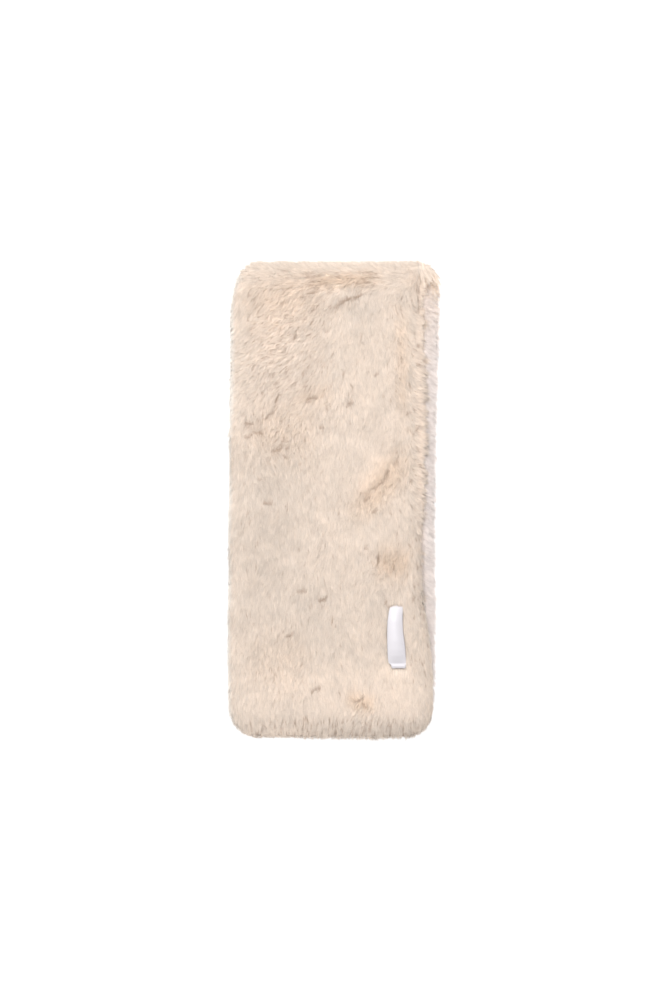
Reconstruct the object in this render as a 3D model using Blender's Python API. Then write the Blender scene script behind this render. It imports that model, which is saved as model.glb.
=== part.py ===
"""Fur collar wrap, folded once in half and laid flat.

Metres, +Z up.  The origin is on the surface that the wrap lies on, under its middle, and
the fold is at +Y.  The wrap is a long flat tube of two fur panels, sewn together all round
the edge.  The outer panel makes the upper face, turns round the fold and makes the flat
underside.  The inner panel lies between: its two leaves touch and share one solid, which is
parted at the edges.  A woven label is sewn on the upper face.

A place on the strip is given by x, across it, and by run, the distance along its seam
plane from the end of the upper half, round the fold, to the end of the lower half.
"""
import math
from collections import namedtuple

import bmesh
import bpy

# ---- the fur and the fold ----
PILE = 0.008            # one fur panel: knitted backing and the pile lying on it
SEAM = 0.0003           # gap between the two panels
ROUND = 0.014           # how far in from the edge the pile rolls over
CORNER = 0.030          # plan radius of the corners at the free ends
CROWN = 0.0015          # how much fuller the upper face is in its middle
CROWN_REACH = 0.055     # distance from the edge to where the crown is full

HALF_SEAM = SEAM / 2
FOLD_RADIUS = PILE      # seam plane's radius round the fold
FOLD_Z = 2 * PILE       # height of the fold's axis
FOLD_Y = 0.222          # place of the fold's axis along Y
UPPER_RUN = 0.460       # length of the upper half, up to the fold
TURN_RUN = math.pi * FOLD_RADIUS
LOWER_RUN = 0.456       # length of the lower half, past the fold
STRIP_RUN = UPPER_RUN + TURN_RUN + LOWER_RUN

# ---- the strip's two long edges ----
Edge = namedtuple("Edge", "run left right")
EDGES = (
    Edge(0.000, -0.1030, 0.1010),   # free end of the upper half
    Edge(0.088, -0.1040, 0.0985),
    Edge(0.138, -0.1035, 0.0905),
    Edge(0.188, -0.1035, 0.0885),
    Edge(0.288, -0.1025, 0.0890),
    Edge(0.388, -0.1010, 0.0875),
    Edge(0.438, -0.1000, 0.0865),
    Edge(0.460, -0.0930, 0.0900),   # drawn in where the fold starts
    Edge(0.473, -0.0860, 0.1010),   # and most so round it, on the left
    Edge(0.485, -0.0900, 0.1040),   # skewed to the right as it comes out below
    Edge(0.527, -0.0960, 0.1055),
    Edge(0.607, -0.0970, 0.1030),
    Edge(0.707, -0.0980, 0.1015),
    Edge(0.857, -0.0985, 0.1015),
    Edge(STRIP_RUN, -0.0985, 0.0985),
)

# ---- where the pile of the upper face parts or lies deep: soft troughs ----
Parting = namedtuple("Parting", "x y length width turn depth")   # turn in degrees from +X
PARTINGS = (
    Parting(0.009, 0.217, 0.070, 0.012, 4, 0.0020),     # under the smooth band of the fold
    Parting(0.016, 0.196, 0.034, 0.011, 15, 0.0032),
    Parting(-0.043, 0.162, 0.026, 0.012, 62, 0.0018),
    Parting(-0.050, 0.124, 0.046, 0.012, 14, 0.0024),
    Parting(-0.026, 0.099, 0.026, 0.012, 12, 0.0028),
    Parting(-0.058, 0.090, 0.024, 0.011, 60, 0.0022),
    Parting(0.018, 0.103, 0.034, 0.012, -50, 0.0020),
    Parting(0.045, 0.124, 0.020, 0.012, 30, 0.0016),
    Parting(-0.077, 0.069, 0.028, 0.012, -12, 0.0032),
    Parting(-0.051, 0.051, 0.032, 0.013, -25, 0.0032),
    Parting(-0.066, -0.003, 0.036, 0.013, -16, 0.0022),
    Parting(0.061, 0.036, 0.042, 0.013, 60, 0.0032),
    Parting(0.040, 0.006, 0.048, 0.014, 46, 0.0034),
    Parting(0.054, -0.064, 0.034, 0.013, -20, 0.0034),
    Parting(-0.011, -0.103, 0.024, 0.012, 15, 0.0020),
    Parting(-0.045, -0.139, 0.030, 0.013, -50, 0.0020),
    Parting(-0.066, -0.176, 0.034, 0.014, 70, 0.0020),
    Parting(-0.016, -0.192, 0.028, 0.012, 36, 0.0024),
    Parting(0.028, -0.207, 0.032, 0.013, -38, 0.0030),
    Parting(0.072, 0.139, 0.130, 0.015, 90, 0.0022),    # long valley inside the right edge
)

# ---- the label ----
LABEL_X = 0.0640        # middle of the label
LABEL_Y = -0.1375
LABEL_WIDTH = 0.017
LABEL_LENGTH = 0.063
LABEL_THICK = 0.0009    # satin ribbon, doubled where its ends are turned under
LABEL_BOW = 0.0010      # how far its middle lies to the left
LABEL_LEAN = 0.0010     # how far its lower end leans to the right
LABEL_GAP = 0.0003
LABEL_POCKET = Parting(LABEL_X, LABEL_Y, 0.090, 0.034, 90, 0.0012)

# ---- how finely the solids are cut ----
ROLL_STEPS = 5          # facets round a rolled edge
WIDE_STEPS = 24         # facets across the flat of the strip
UPPER_STEP = 0.0085     # distance between sections on the upper half
LOWER_STEP = 0.038      # and on the flat lower half
TURN_STEPS = 9          # sections round the fold
BLUNT = 0.00015         # the free ends stop this far short of a knife edge
CORNER_STEPS = 6        # facets round a plan corner of the inner panel
LEAF_STEP = 0.040       # distance between its points along the sides
PARTED = 0.90           # share of the rolled quarter before the two leaves join
LABEL_ROWS = 14
LABEL_COLUMNS = 4
CREASE = math.radians(50)   # a sharper turn between faces than this shows as an edge

# ---- colours of the materials ----
FUR_COLOUR = (0.80, 0.66, 0.55)
FUR_ROUGHNESS = 0.9
LABEL_COLOUR = (0.90, 0.90, 0.92)
LABEL_ROUGHNESS = 0.4


def smooth(value):
    """Ease from 0 to 1 as value goes from 0 to 1."""
    value = min(max(value, 0.0), 1.0)
    return value * value * (3 - 2 * value)


def slope(index, side):
    """Slope of one edge at a row of EDGES, from the rows on both sides of it."""
    before = EDGES[max(index - 1, 0)]
    after = EDGES[min(index + 1, len(EDGES) - 1)]
    return (getattr(after, side) - getattr(before, side)) / (after.run - before.run)


def edges_at(run):
    """The strip's left and right edge at this run, on a smooth curve through EDGES."""
    run = min(max(run, EDGES[0].run), EDGES[-1].run)
    index = max(i for i, row in enumerate(EDGES[:-1]) if row.run <= run)
    near, far = EDGES[index], EDGES[index + 1]
    length = far.run - near.run
    share = (run - near.run) / length
    eased = smooth(share)
    places = []
    for side in ("left", "right"):
        bend = slope(index, side) * share * (1 - share) ** 2
        bend -= slope(index + 1, side) * share ** 2 * (1 - share)
        straight = getattr(near, side) * (1 - eased) + getattr(far, side) * eased
        places.append(straight + length * bend)
    return places


def corner_inset(run):
    """How far the rounded corners draw the edges in near a free end."""
    end = min(run, STRIP_RUN - run)
    if end >= CORNER:
        return 0.0
    return CORNER - math.sqrt(CORNER ** 2 - (CORNER - end) ** 2)


def inset(x, run):
    """Distance of a place on the strip in from its outline."""
    left, right = edges_at(run)
    side = min(x - left, right - x)
    end = min(run, STRIP_RUN - run)
    if side < CORNER and end < CORNER:
        return CORNER - math.hypot(CORNER - side, CORNER - end)
    return min(side, end)


def roll(distance):
    """Height of a rolled edge, 0 at the outline and 1 from ROUND inwards."""
    rest = 1 - min(max(distance / ROUND, 0.0), 1.0)
    return math.sqrt(1 - rest * rest)


def hollow_depth(x, y):
    """Depth of the troughs in the upper face, and of the one that the label presses."""
    depth = 0.0
    for parting in (*PARTINGS, LABEL_POCKET):
        turn = math.radians(parting.turn)
        along = (x - parting.x) * math.cos(turn) + (y - parting.y) * math.sin(turn)
        across = (y - parting.y) * math.cos(turn) - (x - parting.x) * math.sin(turn)
        far = (2 * along / parting.length) ** 2 + (2 * across / parting.width) ** 2
        depth += parting.depth * math.exp(-far)
    return depth


def lift(x, run):
    """Thickness of the outer panel above the seam plane."""
    distance = inset(x, run)
    height = HALF_SEAM + (PILE - HALF_SEAM) * roll(distance)
    if run >= UPPER_RUN:
        return height
    y = FOLD_Y - UPPER_RUN + run
    before_fold = smooth((UPPER_RUN - run) / CORNER)
    crown = CROWN * smooth(distance / CROWN_REACH)
    return height + before_fold * (crown - hollow_depth(x, y) * roll(distance))


def folded(x, run, height):
    """The point that lies at this place on the strip, height above its seam plane."""
    if run < UPPER_RUN:
        return (x, FOLD_Y - UPPER_RUN + run, FOLD_Z + FOLD_RADIUS + height)
    if run < UPPER_RUN + TURN_RUN:
        angle = math.pi / 2 - (run - UPPER_RUN) / FOLD_RADIUS
        reach = FOLD_RADIUS + height
        return (x, FOLD_Y + reach * math.cos(angle), FOLD_Z + reach * math.sin(angle))
    past = run - UPPER_RUN - TURN_RUN
    return (x, FOLD_Y - past, FOLD_Z - FOLD_RADIUS - height)


def roll_places(reach):
    """Distances in from an edge that cut its rolled quarter into equal turns."""
    turns = [math.pi / 2 * step / ROLL_STEPS for step in range(ROLL_STEPS + 1)]
    return [reach * (1 - math.cos(turn)) for turn in turns]


def even(start, end, step):
    """Places from start up to end, not with it, about a step apart."""
    count = max(1, round((end - start) / step))
    return [start + (end - start) * index / count for index in range(count)]


def columns(run):
    """Places across the strip: close at the rolled edges and even between them."""
    left, right = edges_at(run)
    left += corner_inset(run)
    right -= corner_inset(run)
    rolled = roll_places(ROUND)
    flat = (right - left - 2 * ROUND) / WIDE_STEPS
    middle = [left + ROUND + flat * step for step in range(1, WIDE_STEPS)]
    return [left + far for far in rolled] + middle + [right - far for far in reversed(rolled)]


def section_runs():
    """Places along the strip where the outer panel has a section."""
    end = [BLUNT] + roll_places(CORNER)[1:]
    start = end + even(CORNER, UPPER_RUN, UPPER_STEP)[1:]
    turn = even(UPPER_RUN, UPPER_RUN + TURN_RUN, TURN_RUN / TURN_STEPS)
    lower = even(UPPER_RUN + TURN_RUN, STRIP_RUN - CORNER, LOWER_STEP)
    return start + turn + lower + [STRIP_RUN - far for far in reversed(end)]


def lofted(name, rings, colour, roughness, collection):
    """One closed solid through rings of as many points each, capped at both ends."""
    mesh = bpy.data.meshes.new(name)
    bm = bmesh.new()
    loops = [[bm.verts.new(point) for point in ring] for ring in rings]
    count = len(loops[0])
    for near, far in zip(loops, loops[1:]):
        for index in range(count):
            after = (index + 1) % count
            bm.faces.new((near[index], near[after], far[after], far[index]))
    bm.faces.new(list(reversed(loops[0])))
    bm.faces.new(loops[-1])
    bmesh.ops.recalc_face_normals(bm, faces=bm.faces)
    bm.to_mesh(mesh)
    bm.free()
    mesh.shade_smooth()
    mesh.set_sharp_from_angle(angle=CREASE)
    material = bpy.data.materials.new(name)
    material.use_nodes = True
    shader = material.node_tree.nodes["Principled BSDF"]
    shader.inputs["Base Color"].default_value = (*colour, 1.0)
    shader.inputs["Roughness"].default_value = roughness
    shader.inputs["Metallic"].default_value = 0.0
    mesh.materials.append(material)
    solid = bpy.data.objects.new(name, mesh)
    collection.objects.link(solid)
    return solid


def make_outer_panel(collection):
    """The fur panel that shows on top, goes round the fold and lies underneath."""
    rings = []
    for run in section_runs():
        rings.append([folded(x, run, lift(x, run)) for x in columns(run)])
    return lofted("outer_panel", rings, FUR_COLOUR, FUR_ROUGHNESS, collection)


def leaf_outline(in_from_edge, height, first_run, last_run):
    """Closed plan outline of one leaf of the inner panel, in from its sewn edge.

    first_run is the leaf's free end and last_run its end at the fold.
    """
    away = 1 if last_run > first_run else -1
    radius = CORNER - in_from_edge
    arc = [math.pi / 2 * step / CORNER_STEPS for step in range(CORNER_STEPS + 1)]
    sides = even(CORNER, abs(last_run - first_run), LEAF_STEP)[1:]
    reach = FOLD_RADIUS - HALF_SEAM
    bulge = math.sqrt(max(reach ** 2 - (height - FOLD_Z) ** 2, 0.0))
    left, right = [], []
    for turn in arc:
        far = CORNER - radius * math.cos(turn)
        left_edge, right_edge = edges_at(first_run + away * far)
        across = CORNER - radius * math.sin(turn)
        left.append((left_edge + across, far))
        right.append((right_edge - across, far))
    for far in sides:
        left_edge, right_edge = edges_at(first_run + away * far)
        left.append((left_edge + in_from_edge, far))
        right.append((right_edge - in_from_edge, far))
    left_edge, right_edge = edges_at(last_run)
    whole = abs(last_run - first_run)
    left.append((left_edge + in_from_edge, whole + bulge))
    right.append((right_edge - in_from_edge, whole + bulge))
    return [(x, FOLD_Y - whole + far, height) for x, far in left + right[::-1]]


def make_inner_panel(collection):
    """The folded panel between: two leaves in one solid, parted round the free edges."""
    full = PILE - HALF_SEAM
    turns = [math.pi / 2 * PARTED * step / ROLL_STEPS for step in range(ROLL_STEPS + 1)]
    lower_seam = FOLD_Z - FOLD_RADIUS + HALF_SEAM
    upper_seam = FOLD_Z + FOLD_RADIUS - HALF_SEAM
    rings = []
    for turn in turns:
        in_from_edge = ROUND * (1 - math.cos(turn))
        height = lower_seam + full * math.sin(turn)
        rings.append(leaf_outline(in_from_edge, height, STRIP_RUN, UPPER_RUN + TURN_RUN))
    for turn in reversed(turns):
        in_from_edge = ROUND * (1 - math.cos(turn))
        height = upper_seam - full * math.sin(turn)
        rings.append(leaf_outline(in_from_edge, height, 0.0, UPPER_RUN))
    return lofted("inner_panel", rings, FUR_COLOUR, FUR_ROUGHNESS, collection)


def make_label(collection):
    """The woven label, laid on the upper face, a little bowed to the left and leaning."""
    rings = []
    for row in range(LABEL_ROWS + 1):
        along = 2 * row / LABEL_ROWS - 1
        y = LABEL_Y + along * LABEL_LENGTH / 2
        middle = LABEL_X - LABEL_BOW * (1 - along * along) - LABEL_LEAN * along
        across = [2 * step / LABEL_COLUMNS - 1 for step in range(LABEL_COLUMNS + 1)]
        places = [middle + share * LABEL_WIDTH / 2 for share in across]
        run = y - FOLD_Y + UPPER_RUN
        under = [folded(x, run, lift(x, run) + LABEL_GAP) for x in places]
        over = [folded(x, run, lift(x, run) + LABEL_GAP + LABEL_THICK) for x in places]
        rings.append(under + over[::-1])
    return lofted("label", rings, LABEL_COLOUR, LABEL_ROUGHNESS, collection)


for old in list(bpy.data.objects):
    bpy.data.objects.remove(old, do_unlink=True)
wrap = bpy.data.collections.new("fur_collar_wrap")
bpy.context.scene.collection.children.link(wrap)
make_outer_panel(wrap)
make_inner_panel(wrap)
make_label(wrap)
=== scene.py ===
"""Looks of a fur collar wrap: a long strip of plush faux fur, furred on both faces, folded
once across its middle and laid flat.  Metres, +Z up, the fold at +Y.
"""

import math
from collections import namedtuple

import bmesh
import bpy
import numpy as np
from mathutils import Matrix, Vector
from mathutils.bvhtree import BVHTree


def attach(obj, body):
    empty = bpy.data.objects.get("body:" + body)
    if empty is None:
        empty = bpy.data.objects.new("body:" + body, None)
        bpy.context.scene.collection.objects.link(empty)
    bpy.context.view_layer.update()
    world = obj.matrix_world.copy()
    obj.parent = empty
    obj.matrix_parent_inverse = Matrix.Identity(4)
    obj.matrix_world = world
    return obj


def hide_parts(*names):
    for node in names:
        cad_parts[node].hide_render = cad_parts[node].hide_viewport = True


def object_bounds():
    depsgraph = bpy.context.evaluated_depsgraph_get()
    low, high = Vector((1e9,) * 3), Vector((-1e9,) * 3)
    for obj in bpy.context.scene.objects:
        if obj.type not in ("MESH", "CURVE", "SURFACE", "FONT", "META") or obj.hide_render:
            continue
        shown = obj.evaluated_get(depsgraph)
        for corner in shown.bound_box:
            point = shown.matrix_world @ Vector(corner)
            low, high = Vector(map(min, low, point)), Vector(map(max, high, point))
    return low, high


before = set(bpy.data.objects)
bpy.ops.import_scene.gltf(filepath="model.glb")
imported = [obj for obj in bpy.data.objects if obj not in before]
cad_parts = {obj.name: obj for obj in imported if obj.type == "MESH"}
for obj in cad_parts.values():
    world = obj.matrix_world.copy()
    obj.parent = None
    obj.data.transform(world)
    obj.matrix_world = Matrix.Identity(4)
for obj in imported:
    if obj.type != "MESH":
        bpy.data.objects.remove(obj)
solid_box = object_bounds()

# ------------------------------------------------------------
# The table, the light and the camera.  The wrap lies on a white light table and is seen from
# straight above.  The room is brighter beyond the fold and to the left, and a broad soft lamp
# stands there.
# ------------------------------------------------------------
TABLE_SIZE = 40.0
WHITE = (1.0, 1.0, 1.0, 1.0)
TABLE_FINISH = {  # lit from inside, so that no shadow falls on it
    "Base Color": (0.12, 0.12, 0.12, 1.0), "Roughness": 0.8,
    "Emission Color": WHITE, "Emission Strength": 0.96}
ROOM_LIGHT = 0.95  # how bright the room is on average, and how much more on its bright side
ROOM_SLOPE = 0.25
BRIGHT_SIDE = (-0.6, 0.8, 0.0)
LAMP_PLACE = (-0.3, 1.1, 2.4)
LAMP_SIZE = 1.2
LAMP_POWER = 57.0
CAMERA_PLACE = (0.0005, -0.0005, 2.383)
CAMERA_LENS = 85.0

scene = bpy.context.scene
scene.view_settings.view_transform = "Standard"


def linked(name, data):
    """A new object of this data, in the scene."""
    thing = bpy.data.objects.new(name, data)
    scene.collection.objects.link(thing)
    return thing


def fill(node, values):
    """Set a shader node's inputs, each to a value or to another node's output."""
    for socket, value in values.items():
        if isinstance(value, bpy.types.NodeSocket):
            node.id_data.links.new(value, node.inputs[socket])
        else:
            node.inputs[socket].default_value = value


def new_node(tree, kind, values, **settings):
    """A new shader node with these inputs and settings."""
    node = tree.nodes.new("ShaderNode" + kind)
    for setting, value in settings.items():
        setattr(node, setting, value)
    fill(node, values)
    return node


def new_finish(name, values):
    """A new material, its Principled shader with these inputs, and its node tree."""
    material = bpy.data.materials.new(name)
    material.use_nodes = True
    shader = material.node_tree.nodes["Principled BSDF"]
    fill(shader, values)
    return material, shader, material.node_tree


bpy.ops.mesh.primitive_plane_add(size=TABLE_SIZE)
table = bpy.context.object
table.name = "table_top"
table.data.materials.append(new_finish("table_top", TABLE_FINISH)[0])

room = bpy.data.worlds.new("bright_room")
scene.world = room
room.use_nodes = True
around = new_node(room.node_tree, "TexCoord", {})
toward = {0: around.outputs["Generated"], 1: BRIGHT_SIDE}
toward = new_node(room.node_tree, "VectorMath", toward, operation="DOT_PRODUCT")
bright = {0: toward.outputs["Value"], 1: ROOM_SLOPE, 2: ROOM_LIGHT}
bright = new_node(room.node_tree, "Math", bright, operation="MULTIPLY_ADD")
fill(room.node_tree.nodes["Background"], {"Color": WHITE, "Strength": bright.outputs["Value"]})

lamp = linked("soft_lamp", bpy.data.lights.new("soft_lamp", "AREA"))
lamp.data.size = LAMP_SIZE
lamp.data.energy = LAMP_POWER
lamp.location = LAMP_PLACE
lamp.rotation_euler = (-Vector(LAMP_PLACE)).to_track_quat("-Z", "Y").to_euler()

camera = linked("camera", bpy.data.cameras.new("camera"))
camera.data.lens = CAMERA_LENS
camera.location = CAMERA_PLACE
scene.camera = camera

# ------------------------------------------------------------
# The backing.  Each panel is a knitted backing with the dense short underfur on it.  It has
# the form of the panel's solid, drawn in by the depth of the pile that stands on it.
# ------------------------------------------------------------
PILE_DEPTH = 0.002  # how far the underfur lies below the tips
WELD = 0.00001  # corners of a solid's faces nearer than this are one
OUTER_UNDERFUR = (0.72, 0.6, 0.5)
INNER_UNDERFUR = (0.84, 0.76, 0.7)
UNDERFUR_DARKER = (0.8, 0.77, 0.73)  # its deeper streaks, against the pale ones
STREAK_RANGE = (0.3, 0.7)  # the noise over which one goes into the other
STREAK_SCALE = (900.0, 160.0, 900.0)  # noise cells in a metre, longer along the nap
STREAK_NOISE = {"Scale": 1.0, "Detail": 3.0}
STREAK_RELIEF = {"Distance": 0.001, "Strength": 0.6}


def new_group(name, colours, outputs):
    """A new shader group with these inputs and outputs, and the nodes that hold them."""
    group = bpy.data.node_groups.new(name, "ShaderNodeTree")
    for socket in colours:
        group.interface.new_socket(name=socket, in_out="INPUT", socket_type="NodeSocketColor")
    for socket, kind in outputs.items():
        group.interface.new_socket(name=socket, in_out="OUTPUT", socket_type=kind)
    return group, group.nodes.new("NodeGroupInput"), group.nodes.new("NodeGroupOutput")


def placed(group, tree, colours):
    """A shader group placed in a material, with its own colours."""
    node = new_node(tree, "Group", {}, node_tree=group)
    for socket, colour in zip(node.inputs, colours):
        socket.default_value = (*colour, 1.0)
    return node


def mixed(tree, kind, factor, first, second):
    """Mix two colours."""
    values = {"Factor": factor, "A": first, "B": second}
    return new_node(tree, "Mix", values, data_type="RGBA", blend_type=kind).outputs["Result"]


def ranged(tree, value, low, high, start=0.0, end=1.0):
    """Map a value from one range to another, and no further."""
    values = {"Value": value, "From Min": low, "From Max": high, "To Min": start, "To Max": end}
    return new_node(tree, "MapRange", values).outputs["Result"]


def streaked():
    """Shader group: streaks along the nap, from a deeper to a paler colour, and their height."""
    group, given, result = new_group(
        "underfur_streaks", ("Deep", "Pale"), {"Color": "NodeSocketColor", "Height": "NodeSocketFloat"})
    place = new_node(group, "TexCoord", {}).outputs["Object"]
    stretch = new_node(group, "Mapping", {"Vector": place, "Scale": STREAK_SCALE})
    streak = new_node(group, "TexNoise", {"Vector": stretch.outputs["Vector"], **STREAK_NOISE})
    share = ranged(group, streak.outputs["Fac"], *STREAK_RANGE)
    colour = mixed(group, "MIX", share, given.outputs["Deep"], given.outputs["Pale"])
    fill(result, {"Color": colour, "Height": streak.outputs["Fac"]})
    return group


def underfur_finish(name, pale):
    """Matt felted underfur."""
    material, shader, tree = new_finish(name, {"Roughness": 0.95})
    deep = [part * share for part, share in zip(pale, UNDERFUR_DARKER)]
    streak = placed(streaks, tree, (deep, pale))
    bump = new_node(tree, "Bump", {"Height": streak.outputs["Height"], **STREAK_RELIEF})
    fill(shader, {"Base Color": streak.outputs["Color"], "Normal": bump.outputs["Normal"]})
    return material


def welded(mesh):
    """A mesh opened for editing, its faces joined at their corners and turned outward."""
    joined = bmesh.new()
    joined.from_mesh(mesh)
    bmesh.ops.remove_doubles(joined, verts=joined.verts, dist=WELD)
    bmesh.ops.recalc_face_normals(joined, faces=joined.faces)
    return joined


def backing_of(name, node, finish):
    """The underfur of one panel, from its solid."""
    backing = linked(name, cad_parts[node].data.copy())
    backing.data.materials.clear()
    backing.data.materials.append(finish)
    joined = welded(backing.data)
    for vertex in joined.verts:
        vertex.normal_update()
    for vertex in joined.verts:
        vertex.co -= vertex.normal * PILE_DEPTH
    joined.to_mesh(backing.data)
    joined.free()
    backing.data.shade_smooth()
    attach(backing, "root")
    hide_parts(node)
    return backing


streaks = streaked()
outer_underfur = underfur_finish("outer_underfur", OUTER_UNDERFUR)
inner_underfur = underfur_finish("inner_underfur", INNER_UNDERFUR)
outer_backing = backing_of("outer_panel_backing", "outer_panel", outer_underfur)
inner_backing = backing_of("inner_panel_backing", "inner_panel", inner_underfur)

# ------------------------------------------------------------
# The lie of the fur.  The pile is brushed from the fold to the free ends.  Handling has left
# it parted in short clefts, combed aside in tufts, and warmer where its depth shows.
# ------------------------------------------------------------
FOLD_Y = 0.222  # the fold's axis, and the height of the crease between halves
CREASE_Z = 0.016
UPPER_Z = 0.018  # lowest place that shows the marks of the upper half,
UPPER_EASE = 0.004  # and how far above it they are at their full depth

MAP_STEP = 0.0003  # cell of the map of marks, and how far it goes past the wrap
MAP_MARGIN = 0.006
WANDER = 0.0007  # how far the marks wander off their lines, and over what length
WANDER_SIZE = 0.005
CLEFT_DEPTH = 0.0018
CLEFT_STRANDS = 4  # a cleft opens in strands side by side, each half as wide as this
STRAND_WIDTH = 0.00038
STRAND_SPREAD = 0.0008
STRAND_SHIFT = 0.35  # how far off its middle a strand may lie, by the cleft's length
STRAND_LENGTHS = (0.4, 0.8)  # by the cleft's too, and this much more
STRAND_MORE = 0.001
STRAND_TURN = 12
STRAND_DEPTHS = (0.8, 1.3)
SHORT_CLEFT = 0.012  # the strands of a shorter cleft than this lie closer
SPRINKLED_LENGTHS = (0.002, 0.0055)  # of the clefts at random
SPRINKLED_TURN = 28
SPRINKLED_DEPTHS = (0.4, 1.2)
BREAKS = 0.6  # how unevenly clefts open, over what length, and how far at least
BREAK_SIZE = 0.0026
BREAK_LEAST = 0.5
BANK_WIDTH = 0.002  # how far the fur leans away on each side of a cleft,
BANK_DEPTH = 0.3  # how far it sinks there, by the cleft's depth,
BANK_PUSH = 0.0000011  # and how far the tips move aside for each part of the bank's slope
STRAND_BANK = 0.22  # the bank of a strand, by its depth, half as wide
SWELL_HEIGHT = 0.0007  # how far soft swells stand above or below the pelt
SWELL_SIZE = 0.02
NOISE_CELLS = 32  # noise repeats after this many of its patches

Cleft = namedtuple("Cleft", "x y length turn depth")  # metres, degrees from +X, 0 to 1
CLEFTS = [Cleft(*row) for row in (
    (0.0175, 0.197, 0.024, 17, 1.3),  # below the fold
    (0.024, 0.199, 0.012, 22, 1.3),
    (0.006, 0.1915, 0.01, 30, 1.0),
    (-0.0225, 0.2055, 0.013, 2, 0.9),
    (-0.046, 0.209, 0.009, 40, 0.7),
    (-0.0315, 0.201, 0.005, 20, 0.6),
    (-0.0195, 0.188, 0.007, 60, 0.7),
    (-0.051, 0.227, 0.006, 0, 0.5),
    (-0.0635, 0.182, 0.01, 45, 0.5),
    (-0.0495, 0.193, 0.012, 30, 0.5),
    (-0.08, 0.1715, 0.007, 50, 0.6),
    (-0.0385, 0.162, 0.014, 65, 1.0),
    (-0.0645, 0.1435, 0.008, 55, 0.5),
    (-0.0875, 0.154, 0.005, 50, 0.5),
    (-0.0015, 0.1865, 0.006, -45, 0.5),
    (0.0865, 0.2005, 0.03, 90, 0.6),  # down the rolled edge, and out from its lower end
    (0.083, 0.1848, 0.008, 5, 0.6),
    (0.069, 0.199, 0.004, 90, 0.7),  # column inside the right edge
    (0.0695, 0.185, 0.01, 88, 0.6),
    (0.057, 0.179, 0.005, 85, 0.5),
    (0.0685, 0.138, 0.007, 85, 0.6),
    (0.086, 0.152, 0.005, 60, 0.8),
    (0.087, 0.133, 0.005, 20, 0.8),
    (0.029, 0.159, 0.005, 70, 0.5),
    (0.011, 0.124, 0.005, 20, 0.6),
    (0.044, 0.1225, 0.006, 30, 0.7),
    (0.0195, 0.11, 0.006, -60, 0.8),
    (0.0165, 0.0915, 0.012, 38, 0.9),
    (-0.006, 0.0885, 0.006, -35, 0.6),
    (0.052, 0.101, 0.003, 0, 0.6),
    (-0.024, 0.0975, 0.013, 17, 1.0),  # across the middle
    (-0.0565, 0.096, 0.011, 75, 1.3),
    (-0.0635, 0.083, 0.011, 35, 0.8),
    (-0.0845, 0.073, 0.009, 5, 1.4),
    (-0.075, 0.064, 0.014, 3, 1.3),
    (-0.0845, 0.0597, 0.009, 0, 0.7),
    (-0.0107, 0.0692, 0.005, 10, 1.1),
    (-0.048, 0.0562, 0.006, 10, 0.7),
    (-0.053, 0.0485, 0.016, 27, 1.0),
    (-0.047, 0.0408, 0.007, -15, 0.7),
    (-0.0625, 0.036, 0.008, 60, 0.6),
    (0.031, 0.056, 0.008, 0, 0.4),
    (0.0775, 0.113, 0.006, 70, 0.8),
    (0.0815, 0.0885, 0.005, -50, 1.0),
    (0.0755, 0.0835, 0.006, 30, 0.8),
    (0.083, 0.067, 0.012, 55, 1.0),  # between locks on the right edge
    (0.086, 0.049, 0.007, -60, 0.9),
    (0.088, 0.033, 0.006, -40, 0.8),
    (0.079, 0.0173, 0.006, 40, 0.8),
    (0.08, -0.009, 0.006, -30, 0.7),
    (0.065, 0.0375, 0.014, 58, 0.7),  # long diagonal parting
    (0.0545, 0.0245, 0.008, 60, 1.4),
    (0.05, 0.0165, 0.01, 50, 0.8),
    (0.042, 0.0085, 0.01, 42, 0.8),
    (0.033, -0.0015, 0.012, 66, 1.0),
    (0.0425, -0.0135, 0.007, 10, 0.6),
    (0.006, -0.0155, 0.006, 88, 0.7),
    (0.058, -0.016, 0.004, -45, 0.6),
    (-0.065, -0.006, 0.01, -15, 0.9),
    (0.0645, -0.037, 0.006, 50, 0.8),
    (0.0445, -0.062, 0.01, 75, 1.3),  # above the label
    (0.061, -0.068, 0.008, 85, 0.7),
    (0.033, -0.0495, 0.008, 0, 0.5),
    (-0.034, -0.0955, 0.016, 15, 0.7),
    (-0.011, -0.103, 0.011, 12, 1.0),
    (-0.0005, -0.123, 0.007, 80, 1.0),
    (-0.077, -0.071, 0.008, 85, 0.5),
    (-0.045, -0.139, 0.008, 20, 0.8),
    (-0.06, -0.174, 0.01, -55, 0.6),
    (-0.053, -0.192, 0.005, 75, 0.6),
    (-0.0165, -0.1925, 0.011, 38, 1.0),
    (0.053, -0.1048, 0.005, 35, 0.9),
    (0.0245, -0.2028, 0.012, 20, 1.0),  # whorl by the free end
    (0.0325, -0.208, 0.007, -30, 0.8),
    (-0.0245, -0.221, 0.006, 88, 0.9),
    (0.0555, -0.227, 0.006, -20, 0.8),
)]

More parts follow.
